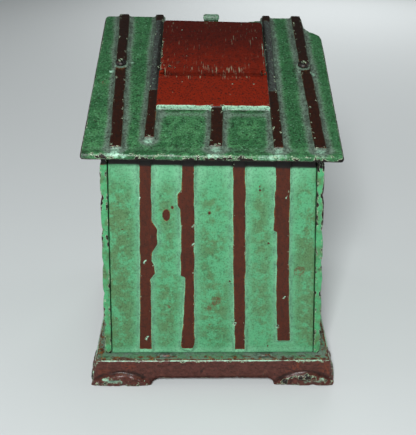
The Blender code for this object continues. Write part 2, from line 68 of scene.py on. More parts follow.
bl_info = {
    "name": "Cast iron cabin bank",
    "version": (1, 0, 0),
    "blender": (4, 5, 0),
    "location": "3D View > Sidebar > Cabin bank",
    "description": "Builds the painted castings of a cabin bank around its packed frame",
    "category": "Object",
}

MM = 0.001
CAD_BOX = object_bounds()

# --- places taken from the frame ------------------------------------------------------
HINGE = next(joint for joint in frame["joints"] if joint["name"] == "hatch_hinge")
ROOF_SLOPE = radians(15)
ROOF_ASKEW = radians(1)
BARREL = (53.1, 0.4)                # up the slope and above the deck, the hatch turns here
HINGE_ON_ROOF = Vector((0, *BARREL)) * MM
# Roof coordinates are millimetres: across, up the slope from the eave, above the deck.
ROOF_PLANE = (Matrix.Translation(HINGE["pos_m"]) @ Matrix.Rotation(ROOF_ASKEW, 4, "Y")
              @ Matrix.Rotation(ROOF_SLOPE, 4, "X") @ Matrix.Translation(-HINGE_ON_ROOF))
SLOPE_LENGTH = 100 / cos(ROOF_SLOPE)
REAR_FACE = -42.2
FRONT_FACE = 42.2
BASE_TOP = 12.5
FOOT_HALF = (54.0, 49.6)
BASE_HALF = (51.7, 47.3)
FOOT_LENGTH = 27.0
BOARD_HEIGHT = 15.6
JOINT_HALF = 44.6
WALL_BATTER = 0.040

# Centre lines of the roof battens: (x, up the slope) at the eave end and at the far end, width.
ROOF_BATTENS = (
    ((-36.8, 4.5), (-41.0, 104.0), 4.4),
    ((-24.3, 10.5), (-24.3, 104.0), 3.6),
    ((1.3, 5.5), (2.2, 33.0), 4.8),
    ((25.3, 5.0), (25.1, 104.0), 3.6),
    ((41.3, 5.0), (39.4, 104.0), 4.4),
)
PANEL_SIDES = (-22.3, 23.1)
PANEL_FOOT = 29.8
HATCH_ENDS = (96.3, 95.3)
PANEL_END = 56
ROOF_SCREWS = ((-39.2, 60.3), (39.2, 60.3))

# Marks left by use, each (across, up, radius) in millimetres on its own face.
ROOF_CHIPS = ((-34.9, 97.4, 0.7), (-21.8, 55.6, 0.6), (-21.9, 49.8, 0.5), (-16.2, 38.6, 0.5),
              (22.4, 53.6, 0.7), (-46.5, 22.0, 0.6), (46.8, 34.0, 0.6), (-33.0, 12.0, 0.4))
ROOF_DABS = ((-34.6, 63.8, 1.2), (-42.8, 56.6, 1.5), (42.9, 55.8, 1.5), (8.5, 45.2, 0.75),
             (17.3, 45.2, 0.75), (-12.5, 46.4, 0.6), (7.4, 37.6, 0.6))
HATCH_CHIPS = ((-18.0, 57.8, 0.8), (-20.6, 58.6, 0.7), (15.6, 90.0, 0.5), (19.9, 81.5, 0.5),
               (-16.0, 56.9, 0.6), (-21.6, 66.0, 0.6), (-21.7, 73.0, 0.5), (-21.5, 80.0, 0.5))
HATCH_DABS = ((-13.5, 87.7, 0.7), (-11.0, 66.0, 0.5), (15.8, 89.0, 0.6))
WALL_RINGS = ((-27.2, 60.6, 0.9), (-27.8, 21.6, 1.0), (-7.3, 77.3, 0.7), (-7.4, 68.8, 0.7),
              (10.2, 28.8, 0.8), (30.0, 90.4, 0.7), (31.0, 42.6, 0.7), (28.6, 27.4, 0.8),
              (-28.4, 90.2, 0.5))
WALL_SPOTS = ((-15.9, 85.8, 0.8), (18.9, 93.3, 0.7), (18.7, 95.0, 0.5), (23.0, 68.9, 0.6),
              (24.2, 16.5, 0.6), (-36.5, 75.7, 0.5), (-1.1, 83.2, 0.8), (7.3, 50.4, 0.6))
WALL_STAINS = ((-18.6, 37.6, 2.1), (1.4, 40.5, 3.4), (-1.3, 36.6, 2.4), (-1.3, 28.2, 1.7),
               (-1.3, 21.4, 1.4), (36.2, 55.3, 3.6), (35.8, 42.6, 1.6), (-41.2, 31.8, 1.9),
               (7.4, 63.0, 1.4))


def linear(hex_colour):
    """Turns an sRGB hex colour into linear RGBA."""
    channels = [int(hex_colour[at:at + 2], 16) / 255 for at in (1, 3, 5)]
    return tuple(c / 12.92 if c <= 0.04045 else ((c + 0.055) / 1.055) ** 2.4
                 for c in channels) + (1.0,)


def colour(name, description, hex_colour):
    """A colour property with an sRGB hex default."""
    return FloatVectorProperty(name=name, description=description, subtype="COLOR", size=4,
                               min=0.0, max=1.0, default=linear(hex_colour))


class BankPaint(bpy.types.PropertyGroup):
    """Colours of the enamel, of what shows through it and of what has settled on it, some of them
    also laid as painted shade and highlight.
    """
    wall_green: colour("Wall green", "Dipped enamel on the end walls", "#509A6D")
    wall_deep: colour("Wall deep green", "The same enamel where it lies thick", "#427F53")
    mint: colour("Mint", "Rubbed enamel beside the wall battens", "#74B58D")
    olive: colour("Olive", "Oily dirt in the middle of each field", "#556841")
    board_green: colour("Board green", "Enamel on the boarded sides", "#4A9A68")
    roof_green: colour("Roof green", "Enamel on the roof", "#41784C")
    # This deep green is also the painted shade that darkens the roof towards the ridge.
    roof_deep_and_shade: colour("Roof deep green", "Enamel on the roof where it lies thick", "#2A5A36")
    dust: colour("Dust", "Grey film beside the roof battens", "#64796A")
    # This pale colour also serves as painted highlight on the eave roll, batten ends, foot beads and
    # edges.
    lip_and_highlight: colour("Lip", "Pale rubbed enamel on the eave and the batten ends", "#9FD0B4")
    slate: colour("Slate", "Grey ground coat on the battens beside the hatch", "#3A3E3C")
    brown: colour("Brown", "Brown enamel brushed on battens and base", "#4A1F10")
    deep_brown: colour("Deep brown", "Brown enamel where it lies thick", "#34180D")
    base_brown: colour("Base brown", "Brown enamel on the base, dulled by handling", "#55302A")
    roof_brown: colour("Roof brown", "Weathered brown enamel on the roof", "#26120A")
    ochre: colour("Ochre", "Thin brown enamel at the edge of a stroke", "#8A5F30")
    red: colour("Red", "Brick red enamel on the hatch and panel", "#741F0E")
    # This dulled red is also the painted shade that darkens the panel and hatch towards the ridge.
    dirty_shaded_red: colour("Deep red", "Red enamel dulled by dirt", "#42130D")
    cream: colour("Cream", "First coat that shows round a chip", "#A3B99A")
    # This near-black is also the colour of painted shade.
    iron: colour("Iron", "Bare iron, long exposed", "#15110F")
    rust: colour("Rust", "Rust bloom", "#5C3A24")
    bloom: colour("Bloom", "Orange tint where the base's brown has worn thin", "#6C3521")


class BankCasting(bpy.types.PropertyGroup):
    """How the castings are grown over their CAD solids."""
    skin: FloatProperty(name="Skin cell", description="Spacing of the skin's points",
                        default=0.5 * MM, min=0.2 * MM, max=2 * MM, unit="LENGTH",
                        precision=5)
    passes: IntProperty(name="Softening", description="Smoothing passes on a casting's edges",
                        default=3, min=0, max=20)
    grain: FloatProperty(name="Grain", description="Depth of the sand-cast surface",
                         default=0.045 * MM, min=0.0, max=0.5 * MM, unit="LENGTH",
                         precision=6)


class BankStage(bpy.types.PropertyGroup):
    """Camera, floor and lamps."""
    distance: FloatProperty(name="Distance", description="Camera's distance behind the bank",
                            default=0.3235, unit="LENGTH")
    height: FloatProperty(name="Height", description="Camera's height", default=0.2375,
                          unit="LENGTH")
    pitch: FloatProperty(name="Pitch", description="How far the camera looks down",
                         default=radians(27.45), subtype="ANGLE")
    key: FloatProperty(name="Key", description="Power of the softbox over the camera",
                       default=5.0, min=0.0, unit="POWER")
    fill: FloatProperty(name="Fill", description="Power of each softbox round the bank",
                        default=0.9, min=0.0, unit="POWER")
    sky: FloatProperty(name="Sky", description="Strength of the even light from all round",
                       default=0.15, min=0.0)


# --- skins ----------------------------------------------------------------------------
LATTICE = 32


def soft_noise(points, wavelength, seed):
    """Smooth repeatable noise from -1 to 1 at an (n, 3) array of points."""
    lattice = np.random.default_rng(seed).uniform(-1, 1, (LATTICE, LATTICE, LATTICE))
    cell = points / np.asarray(wavelength, dtype=float)
    corner = np.floor(cell).astype(int)
    blend = cell - corner
    blend = blend * blend * (3 - 2 * blend)
    total = np.zeros(len(points))
    for step in product((0, 1), repeat=3):
        x, y, z = ((corner + step) % LATTICE).T
        share = np.where(step, blend, 1 - blend).prod(axis=1)
        total += share * lattice[x, y, z]
    return total


def ramp(value, low, high):
    """0 below low, 1 above high, and a smooth rise between."""
    share = np.clip((value - low) / (high - low), 0, 1)
    return share * share * (3 - 2 * share)


def near(value, centre, reach):
    """A bell that is 1 at centre and fades over reach."""
    return np.exp(-((value - centre) / reach) ** 2)


def between(value, low, high, soft=0.5):
    """1 from low to high, falling to 0 over soft outside that span."""
    return ramp(value, low - soft, low) * ramp(-value, -high - soft, -high)


def dots(across, up, places, soft=0.3):
    """1 inside each (across, up, radius) dot."""
    return np.max([ramp(radius - np.hypot(across - x, up - y), 0, soft)
                   for x, y, radius in places], axis=0)


def rings(across, up, places):
    """Thin rings, open on one side, as paint lifts round a bubble."""
    total = np.zeros(len(across))
    for x, y, radius in places:
        gap = np.hypot(across - x, up - y)
        opening = ramp(across - x + 0.5 * (y - up), -0.6 * radius, 0.3 * radius)
        total = np.maximum(total, near(gap, radius * 0.7, 0.35 * radius) * (1 - 0.8 * opening))
    return total


class Skin:
    """A dense even mesh over a CAD node, with its points as arrays in millimetres."""

    def __init__(self, node, place=Matrix.Identity(4), cell=None, passes=None):
        casting = bpy.context.scene.bank_casting
        mesh = frame["nodes"][node].data.copy()
        mesh.transform(place.inverted())
        carrier = bpy.data.objects.new(node + "_carrier", mesh)
        bpy.context.scene.collection.objects.link(carrier)
        skin = carrier.modifiers.new("Skin", "REMESH")
        skin.mode = "VOXEL"
        skin.voxel_size = cell or casting.skin
        skin.use_smooth_shade = True
        soften = carrier.modifiers.new("Softened edges", "SMOOTH")
        soften.factor = 0.5
        soften.iterations = casting.passes if passes is None else passes
        evaluated = carrier.evaluated_get(bpy.context.evaluated_depsgraph_get())
        self.mesh = bpy.data.meshes.new_from_object(evaluated)
        bpy.data.objects.remove(carrier)
        self.place = place
        self.node = node
        count = len(self.mesh.vertices)
        self.points = np.empty(count * 3, dtype=np.float32)
        self.mesh.vertices.foreach_get("co", self.points)
        self.points = self.points.reshape(count, 3).astype(float) / MM
        self.edges = np.empty(len(self.mesh.edges) * 2, dtype=np.int32)
        self.mesh.edges.foreach_get("vertices", self.edges)
        self.edges = self.edges.reshape(-1, 2)
        self.ends = np.bincount(self.edges.ravel(), minlength=count)

    def normals(self):
        """Outward directions at the points as they are now."""
        self.store()
        found = np.empty(len(self.points) * 3, dtype=np.float32)
        self.mesh.vertex_normals.foreach_get("vector", found)
        return found.reshape(-1, 3).astype(float)

    def store(self):
        """Writes the points back into the mesh."""
        self.mesh.vertices.foreach_set("co", (self.points * MM).astype(np.float32).ravel())
        self.mesh.update()

    def averaged(self, values, passes):
        """Values at the points, evened out over their neighbours."""
        values = np.array(values, dtype=float).reshape(len(self.points), -1)
        first, second = self.edges.T
        for _ in range(passes):
            total = np.empty_like(values)
            for column in range(values.shape[1]):
                kept = values[:, column]
                total[:, column] = (
                    np.bincount(first, kept[second], minlength=len(kept))
                    + np.bincount(second, kept[first], minlength=len(kept)))
            values = 0.5 * values + 0.5 * total / self.ends[:, None]
        return values

    def roundness(self, passes=10):
        """How far each point stands out from its surroundings: ridges +, hollows -, in mm."""
        lifted = self.points - self.averaged(self.points, passes)
        return (lifted * self.normals()).sum(axis=1)

    def soften(self, share, passes):
        """Melts the casting's edges where share is 1."""
        melted = self.averaged(self.points, passes)
        self.points += (melted - self.points) * np.asarray(share)[:, None]

    def push(self, distance):
        """Moves the points along their normals, in millimetres."""
        self.points = self.points + self.normals() * np.asarray(distance)[:, None]

    def sand(self, seed, keep=1.0):
        """Sand-cast surface: broad waves, small lumps and a few pits."""
        depth = bpy.context.scene.bank_casting.grain / MM * keep
        waves = soft_noise(self.points, 7.0, seed)
        lumps = soft_noise(self.points, 2.3, seed + 1)
        grit = soft_noise(self.points, 1.1, seed + 2)
        pits = ramp(soft_noise(self.points, 1.7, seed + 3), 0.62, 0.85)
        self.push(depth * (1.1 * waves + 0.7 * lumps + 0.5 * grit - 2.5 * pits))

    def mark(self, name, values):
        """Stores one number for each point, which the materials read."""
        layer = self.mesh.attributes.new(name, "FLOAT", "POINT")
        layer.data.foreach_set("value", np.asarray(values, dtype=np.float32).ravel())

    def mark_wear(self, edges=1.0, chips=0.0, hollows=1.0, soot=0.0):
        """Marks where hands and shelves rub the casting and where dirt settles on it."""
        lifted = self.roundness()
        self.mark("wear", np.clip(lifted / 0.11, 0, 1) * edges + chips)
        self.mark("grime", np.clip(-lifted / 0.09, 0, 1) * hollows + soot)

    def finish(self, name, body, material):
        """Turns the skin into a piece that rides on a body and stands for its CAD node."""
        self.store()
        self.mesh.transform(self.place)
        world = np.empty(len(self.points) * 3, dtype=np.float32)
        self.mesh.vertices.foreach_get("co", world)
        world = np.clip(world.reshape(-1, 3), *np.array(CAD_BOX))
        self.mesh.vertices.foreach_set("co", world.ravel())
        piece = bpy.data.objects.new(name, self.mesh)
        bpy.context.scene.collection.objects.link(piece)
        self.mesh.materials.clear()
        self.mesh.materials.append(material)
        self.mesh.shade_smooth()
        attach(piece, body)
        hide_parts(self.node)
        return piece


# --- materials ------------------------------------------------------------------------
def add_node(tree, kind, inputs=None, **settings):
    """Adds a node with its settings, and sets or links its inputs."""
    node = tree.nodes.new(kind)
    for name, value in settings.items():
        setattr(node, name, value)
    for name, value in (inputs or {}).items():
        if isinstance(value, bpy.types.NodeSocket):
            tree.links.new(value, node.inputs[name])
        else:
            node.inputs[name].default_value = value
    return node


def new_material(name):
    """A material with nodes, its node tree and its shader."""
    material = bpy.data.materials.new(name)
    material.use_nodes = True
    return material, material.node_tree, material.node_tree.nodes["Principled BSDF"]


def tint(name):
    """One of the bank's paint colours."""
    return tuple(getattr(bpy.context.scene.bank_paint, name))


def millimetres(tree, stretch=(1, 1, 1)):
    """Object position in millimetres, so that a noise scale is one over a real size."""
    place = add_node(tree, "ShaderNodeTexCoord").outputs["Object"]
    return add_node(tree, "ShaderNodeVectorMath",
                    {0: place, 1: tuple(1000 * s for s in stretch)},
                    operation="MULTIPLY").outputs[0]


def cloud(tree, place, size, detail=3.0, roughness=0.6, shift=0.0):
    """Noise about 0.5 whose patches are about size millimetres across."""
    moved = add_node(tree, "ShaderNodeVectorMath", {0: place, 1: (shift, shift * 0.7, -shift)},
                     operation="ADD").outputs[0]
    return add_node(tree, "ShaderNodeTexNoise",
                    {"Vector": moved, "Scale": 1 / size, "Detail": detail,
                     "Roughness": roughness}).outputs["Fac"]


def patches(tree, value, low, high, amount=1.0):
    """A mask that goes from 0 at low to amount at high."""
    return add_node(tree, "ShaderNodeMapRange",
                    {"Value": value, "From Min": low, "From Max": high, "To Min": 0.0,
                     "To Max": amount}, interpolation_type="SMOOTHSTEP").outputs[0]


def coat(tree, under, over, mask):
    """One colour laid over another where the mask is 1."""
    return add_node(tree, "ShaderNodeMix", {0: mask, 6: under, 7: over},
                    data_type="RGBA").outputs[2]


def times(tree, first, second):
    """Product of two masks."""
    return add_node(tree, "ShaderNodeMath", {0: first, 1: second},
                    operation="MULTIPLY").outputs[0]


def sway(tree, value, noise, amount):
    """A mark whose level wanders by amount with a noise about 0.5."""
    centred = add_node(tree, "ShaderNodeMath", {0: noise, 1: 0.5}, operation="SUBTRACT")
    return add_node(tree, "ShaderNodeMath", {0: centred.outputs[0], 1: amount, 2: value},
                    operation="MULTIPLY_ADD").outputs[0]


def mark_of(tree, name):
    """A number that a skin stored at its points, or 0 where it stored none."""
    return add_node(tree, "ShaderNodeAttribute", attribute_name=name).outputs["Fac"]


def enamel(name, field, deep, dirt, beside, second, second_deep, brush=(1, 1, 1),
           mottle=0.8, dirty=0.5, pores=0.3, streaks=0.0, grit=0.0, bloom=None, gloss=0.42):
    """Oil enamel brushed over cast iron a century ago and never touched up.

    To the eye: a satin skin, mottled by grease and grit in the open fields, darkened by painted
    shade under the eaves and towards the roof's ridge, and worn paler beside every raised edge, with
    painted highlights on rounded edges.  Chips show a thin rim of pale first coat round dark iron.
    """
    material, tree, shader = new_material(name)
    place = millimetres(tree)

    broad = cloud(tree, place, 14.0, 2.0)
    middling = cloud(tree, place, 3.6, 5.0, 0.7, 11.0)
    fine = cloud(tree, place, 0.9, 3.0, 0.65, 23.0)
    brushed = cloud(tree, millimetres(tree, brush), 1.3, 3.0, 0.6, 5.0)

    # the dipped coat, its soiling and painted shade towards the ridge, and the paler film beside
    # raised edges
    halo = mark_of(tree, "halo")
    uneven = sway(tree, middling, broad, 0.8)
    tone = coat(tree, field, deep, patches(tree, uneven, 0.4, 0.62, mottle))
    clear_of_edges = patches(tree, halo, 0.5, 0.0)
    # this mark is soiling, and on the roof and hatch also painted shade towards the ridge
    grown = mark_of(tree, "dirt")
    dirt_and_shade_share = patches(tree, sway(tree, sway(tree, broad, middling, 1.9), grown, 0.5),
                   0.15, 0.6, dirty)
    tone = coat(tree, tone, dirt, times(tree, dirt_and_shade_share, clear_of_edges))
    tone = coat(tree, tone, beside, patches(tree, sway(tree, halo, middling, 0.5), 0.1, 0.95))
    tone = coat(tree, tone, tint("slate"),
                patches(tree, sway(tree, mark_of(tree, "slate"), fine, 0.6), 0.4, 0.6))
    stain = sway(tree, sway(tree, mark_of(tree, "stain"), middling, 1.8), fine, 2.0)
    tone = coat(tree, tone, tint("rust"), patches(tree, stain, 0.7, 1.1, 0.7))

    # the second coats, brushed on by hand
    brown_level = sway(tree, sway(tree, mark_of(tree, "brown"), fine, 0.45), brushed, streaks)
    brown = coat(tree, second, second_deep, patches(tree, brushed, 0.36, 0.7, 0.6))
    thin = times(tree, patches(tree, brown_level, 0.98, 0.6), patches(tree, fine, 0.45, 0.6, 0.8))
    brown = coat(tree, brown, tint("ochre"), times(tree, thin, patches(tree, middling, 0.4, 0.6)))
    if bloom:
        brown = coat(tree, brown, bloom, patches(tree, stain, 0.35, 1.2, 0.75))
    tone = coat(tree, tone, brown, patches(tree, brown_level, 0.42, 0.54))
    red_level = sway(tree, mark_of(tree, "red"), fine, 0.4)
    # the red darkens with the same mark: soiling, and painted shade towards the ridge
    red = coat(tree, tint("red"), tint("dirty_shaded_red"),
               patches(tree, sway(tree, sway(tree, grown, middling, 0.7), brushed, 0.6),
                       -0.05, 1.05))
    tone = coat(tree, tone, red, patches(tree, red_level, 0.42, 0.54))

    # wear and painted highlights, scuffs, pores, grime and painted shade
    rubbed = sway(tree, mark_of(tree, "rubbed"), middling, 1.3)
    tone = coat(tree, tone, tint("lip_and_highlight"), patches(tree, rubbed, 0.45, 0.85, 0.95))
    scratches = cloud(tree, millimetres(tree, (1, 0.09, 0.09)), 0.45, 1.0, 0.5, 131.0)
    scuffed = sway(tree, mark_of(tree, "scuff"), scratches, 3.2)
    tone = coat(tree, tone, tint("cream"), patches(tree, scuffed, 0.85, 1.5, 0.42))
    speck = patches(tree, fine, 0.47, 0.33, pores)
    tone = coat(tree, tone, tint("iron"), speck)
    sandy = cloud(tree, place, 0.7, 2.0, 0.6, 57.0)
    on_green = times(tree, patches(tree, red_level, 0.8, 0.3),
                     patches(tree, brown_level, 0.8, 0.3))
    dark_grit = patches(tree, sandy, 0.48, 0.34, grit)
    pale_grit = times(tree, patches(tree, sandy, 0.58, 0.74, 0.42 * grit), on_green)
    tone = coat(tree, tone, tint("iron"), dark_grit)
    tone = coat(tree, tone, tint("lip_and_highlight"), pale_grit)
    grime = times(tree, mark_of(tree, "grime"), patches(tree, middling, 0.3, 0.6, 0.8))
    tone = coat(tree, tone, tint("iron"), grime)
    # near-black laid down as painted shade under the eave, beside the hatch, on the eave's underside
    # and along seams, with some real soiling
    tone = coat(tree, tone, tint("iron"), mark_of(tree, "soot"))

    # chips down to the iron
    flaked = cloud(tree, place, 2.2, 5.0, 0.68, 41.0)
    loose = add_node(tree, "ShaderNodeMath", {0: mark_of(tree, "wear"), 1: 0.5, 2: flaked},
                     operation="MULTIPLY_ADD").outputs[0]
    rim = patches(tree, loose, 0.80, 0.82)
    bare = patches(tree, loose, 0.835, 0.85)
    tone = coat(tree, tone, tint("cream"), rim)
    metal = coat(tree, tint("iron"), tint("rust"), patches(tree, fine, 0.5, 0.75, 0.5))
    tone = coat(tree, tone, metal, bare)
    tree.links.new(tone, shader.inputs["Base Color"])

    dull = add_node(tree, "ShaderNodeMapRange",
                    {"Value": sway(tree, middling, bare, 0.6), "From Min": 0.2, "From Max": 0.9,
                     "To Min": gloss - 0.08, "To Max": gloss + 0.16}).outputs[0]
    tree.links.new(dull, shader.inputs["Roughness"])
    sheen = add_node(tree, "ShaderNodeMath",
                     {0: patches(tree, red_level, 0.42, 0.54), 1: -0.12, 2: 0.22},
                     operation="MULTIPLY_ADD").outputs[0]
    sheen = add_node(tree, "ShaderNodeMath", {0: mark_of(tree, "dull"), 1: -0.2, 2: sheen},
                     operation="MULTIPLY_ADD", use_clamp=True).outputs[0]
    tree.links.new(sheen, shader.inputs["Specular IOR Level"])
    relief = sway(tree, times(tree, brushed, 0.4), fine, 0.6)
    relief = add_node(tree, "ShaderNodeMath", {0: rim, 1: -0.7, 2: relief},
                      operation="MULTIPLY_ADD").outputs[0]
    bump = add_node(tree, "ShaderNodeBump",
                    {"Height": relief, "Distance": 0.12 * MM, "Strength": 0.8})
    tree.links.new(bump.outputs["Normal"], shader.inputs["Normal"])
    return material


def dark_iron(name):
    """Bare cast and drawn iron gone brown-black in the air.

    To the eye: almost black with a dull greasy shine and rusty blooms, and a pale top on screw heads
    that is partly worn paint, partly painted highlight.
    """
    material, tree, shader = new_material(name)
    place = millimetres(tree)
    bloom = cloud(tree, place, 1.4, 4.0, 0.65)
    fine = cloud(tree, place, 0.5, 3.0, 0.6, 9.0)
    tone = coat(tree, tint("iron"), tint("rust"), patches(tree, bloom, 0.5, 0.75, 0.6))
    # a pale top on a screw head: partly worn paint, partly painted highlight
    crown = sway(tree, mark_of(tree, "crown"), bloom, 1.6)
    tone = coat(tree, tone, tint("cream"), patches(tree, crown, 0.55, 0.9, 0.8))
    tree.links.new(tone, shader.inputs["Base Color"])
    shader.inputs["Metallic"].default_value = 0.3
    shader.inputs["Roughness"].default_value = 0.48
    bump = add_node(tree, "ShaderNodeBump",
                    {"Height": fine, "Distance": 0.08 * MM, "Strength": 0.6})
    tree.links.new(bump.outputs["Normal"], shader.inputs["Normal"])
    return material


# --- roof -----------------------------------------------------------------------------
def batten_distance(across, up_slope, start, end):
    """Distance from a batten's centre line."""
    (x0, y0), (x1, y1) = start, end
    length = ((x1 - x0) ** 2 + (y1 - y0) ** 2) ** 0.5
    along = ((across - x0) * (x1 - x0) + (up_slope - y0) * (y1 - y0)) / length ** 2
    held = np.clip(along, 0, 1)
    return np.hypot(across - x0 - held * (x1 - x0), up_slope - y0 - held * (y1 - y0))


class BANK_OT_roof(bpy.types.Operator):
    """Grow the roof casting: deck, battens, fixed red panel, ears and screw bosses"""
    bl_idname = "bank.roof"
    bl_label = "Roof"

    def execute(self, context):
        skin = Skin("roof", ROOF_PLANE)
        across, up_slope, above = skin.points.T
        boss = np.clip(sum(near(np.hypot(across - x, up_slope - y), 0, 4.2)
                           for x, y in ROOF_SCREWS), 0, 1)
        on_panel = between(across, *PANEL_SIDES, 0.8) * between(up_slope, PANEL_FOOT, PANEL_END, 0.6)
        # the fixed panel's end reaches as near the barrel as the open hatch's neck allows
        over_barrel = between(across, PANEL_SIDES[0] + 1.6, PANEL_SIDES[1] - 1.6, 0.3)
        over_barrel = over_barrel * ramp(up_slope, 50.2, 50.9) * ramp(above, 1.5, 1.9)
        skin.points[:, 1] += 0.15 * over_barrel
        free = ramp(above, -0.6, 0.2) * (1 - boss) * (1 - on_panel) * ramp(
            49.4 - np.abs(across), 0, 2)
        skin.points[:, 0] += 0.38 * soft_noise(skin.points, (6, 8, 40), 3) * free
        skin.points[:, 2] += 0.10 * soft_noise(skin.points, (9, 9, 40), 4) * free * (above > 0.3)
        # the eave swells into a soft roll that is knocked and chipped all along
        roll = 0.38 * near(up_slope, 1.5, 1.1) * ramp(above, -0.8, -0.1) * (above < 0.6)
        skin.points[:, 2] += roll * (0.8 + 0.4 * soft_noise(skin.points, (5, 40, 40), 6))
        rim = ramp(skin.roundness(6), 0.04, 0.15)
        outside = np.maximum(ramp(2.2 - up_slope, 0, 1.2), ramp(np.abs(across) - 48.4, 0, 1.0))
        knocks = ramp(soft_noise(skin.points, (3.4, 2.8, 2.8), 5), -0.2, 0.8)
        skin.push(-0.30 * knocks * rim * outside)
        skin.sand(10)

        across, up_slope, above = skin.points.T
        brown = np.zeros(len(across))
        dust = np.zeros(len(across))
        wander = 0.35 * soft_noise(skin.points, (3, 5, 40), 12)
        ends = np.zeros(len(across))
        for start, end, width in ROOF_BATTENS:
            gap = batten_distance(across, up_slope, start, end)
            inside = width / 2 - gap
            brown = np.maximum(brown, ramp(inside, -0.5, 0.2) * ramp(up_slope, start[1] - 0.6,
                                                                     start[1] + 0.6))
            reach = 2.1 + 0.6 * soft_noise(skin.points, (4, 12, 40), 7)
            dust = np.maximum(dust, near(np.maximum(-inside, 0.5), 0.5, reach))
            dab = np.hypot(0.8 * (across - start[0]), up_slope - start[1] + 1.3)
            ends = np.maximum(ends, near(dab, 0, 2.4) * ramp(start[1] + 0.5 - up_slope, 0, 1.0))
        brown = brown * ramp(above, 0.45, 0.85)
        beside_hatch = ramp(up_slope, 37, 46) * ramp(98.5 - up_slope, 0, 1.5) * (
            np.abs(across) < 28.5)
        skin.mark("slate", brown * beside_hatch)
        skin.mark("brown", brown * (beside_hatch < 0.5) * (1 - boss * ramp(above, 0.9, 1.5)))
        fields = near(up_slope, PANEL_FOOT - 3.2, 1.8) * (np.abs(across) < 23.5)
        fields = fields + 0.5 * near(up_slope, 4.6, 1.6)
        skin.mark("halo", np.clip(dust + 0.6 * fields * ramp(0.6 - above, 0, 0.3), 0, 1)
                  * ramp(above, -1.2, -0.2))
        on_red = between(across, *PANEL_SIDES, 0.3) * (up_slope > PANEL_FOOT)
        on_red = on_red * (up_slope < PANEL_END) * (above > 1.1)
        # darker up the slope towards the ridge: partly soiling, partly painted shade of the light
        # falling off; the red panel likewise darkens as it rises
        dirt = 0.35 + 0.6 * ramp(up_slope, 5, 95) + 0.45 * ramp(across, 8, 44)
        skin.mark("dirt", dirt * (1 - on_red)
                  + (0.22 * ramp(up_slope, 36, 52) - 0.2 * ramp(33 - up_slope, 0, 3)) * on_red)
        # painted shadow of the raised hatch: a dark strip on the battens between their lit edge and
        # the panel
        lit = 24.4 - 0.9 * ramp(60 - up_slope, 0, 20) - 0.35 * (across > 0) + wander
        shaded = beside_hatch * ramp(lit - np.abs(across - 0.4), -0.2, 0.3) * ramp(above, -0.2, 0.3)
        shaded = shaded * (np.abs(across - 0.4) > 22.9)
        # the battens darken up the slope: partly weathering, partly painted shade of the light
        # falling off towards the ridge
        weathered_and_shaded = 0.5 * brown * (1 - beside_hatch) * ramp(up_slope, 30, 90)
        # painted shade on the underside of the eave roll
        eave_foot = 0.85 * ramp(-1.35 - above + wander, 0, 0.5) * ramp(1.9 - up_slope, 0, 1)
        bulb = 0.7 * near(np.hypot(across + 48.5, up_slope - 0.8), 0, 2.4)
        skin.mark("soot", np.max([0.85 * shaded, weathered_and_shaded, eave_foot, bulb], axis=0))
        # pale paint on the panel's foot face, along the eave roll and at the batten ends: partly
        # worn paint, partly painted highlight
        lower_face = between(up_slope, PANEL_FOOT - 1.4, PANEL_FOOT, 0.5)
        lower_face = lower_face * between(across, *PANEL_SIDES, 0.6)
        lower_face = lower_face * ramp(above, 0.0, 0.5) * (np.abs(across - 1.9) > 2.2)
        eave = ramp(1.9 - up_slope, 0, 0.9) * ramp(above, -1.9, -0.9)
        lengths = 0.5 + 0.5 * soft_noise(skin.points, (8, 40, 40), 13)
        dabs = dots(across, up_slope, ROOF_DABS) * ramp(above, -0.5, 0)
        skin.mark("rubbed", np.clip(0.95 * lower_face + 0.6 * eave * lengths + 0.85 * ends
                                    + 0.75 * dabs, 0, 1))
        red = between(across, *PANEL_SIDES, 0.3) * between(up_slope, PANEL_FOOT + 0.1, 55.8, 0.3)
        low = ramp(up_slope, 49, 51)
        skin.mark("red", red * np.maximum(ramp(above, 1.1, 1.7), low * ramp(above, -1.6, -1.2)))
        seam = near(up_slope, 51, 3.4) * between(across, -20, 14, 5) * (0.5 + 0.5 * ramp(
            soft_noise(skin.points, (7, 40, 40), 8), -0.2, 0.5))
        skin.mark("scuff", red * seam * 0.9)
        at_seam = red * near(up_slope, 52, 1.6)
        skin.mark("dull", at_seam)
        skin.mark("stain", near(np.hypot(across + 45, up_slope - 48), 0, 4) * 0.8)
        edge = np.maximum(ramp(2.4 - up_slope, 0, 1.0), ramp(np.abs(across) - 48.2, 0, 1.0))
        edge = np.maximum(edge, ramp(up_slope, SLOPE_LENGTH - 2, SLOPE_LENGTH - 1))
        sides = ramp(np.abs(across) - 49.2, 0, 0.5) * 0.45
        under = ramp(-1.0 - above, 0, 0.9) * ramp(1.6 - up_slope, 0, 1) * 0.55
        blotches = ramp(soft_noise(skin.points, (4.5, 3, 3), 9), -0.1, 0.5)
        under += 0.5 * blotches * near(above, -1.2, 0.9) * ramp(1.9 - up_slope, 0, 1)
        chips = 0.9 * dots(across, up_slope, ROOF_CHIPS) * ramp(above, -0.5, 0) + 0.1 * brown
        kept = 1 - 0.95 * on_red * ramp(up_slope, 47, 50)
        skin.mark_wear((0.3 + 0.1 * edge + 0.15 * ends) * kept, sides + under + chips,
                       0.75 + 0.25 * edge - 0.5 * red)
        material = enamel("roof_enamel", tint("roof_green"), tint("roof_deep_and_shade"),
                          tint("roof_deep_and_shade"), tint("dust"), tint("roof_brown"),
                          tint("deep_brown"), (1, 0.6, 1), mottle=0.9, dirty=0.75,
                          pores=0.6, grit=0.7)
        skin.finish("roof_casting", "bank", material)
        return {"FINISHED"}


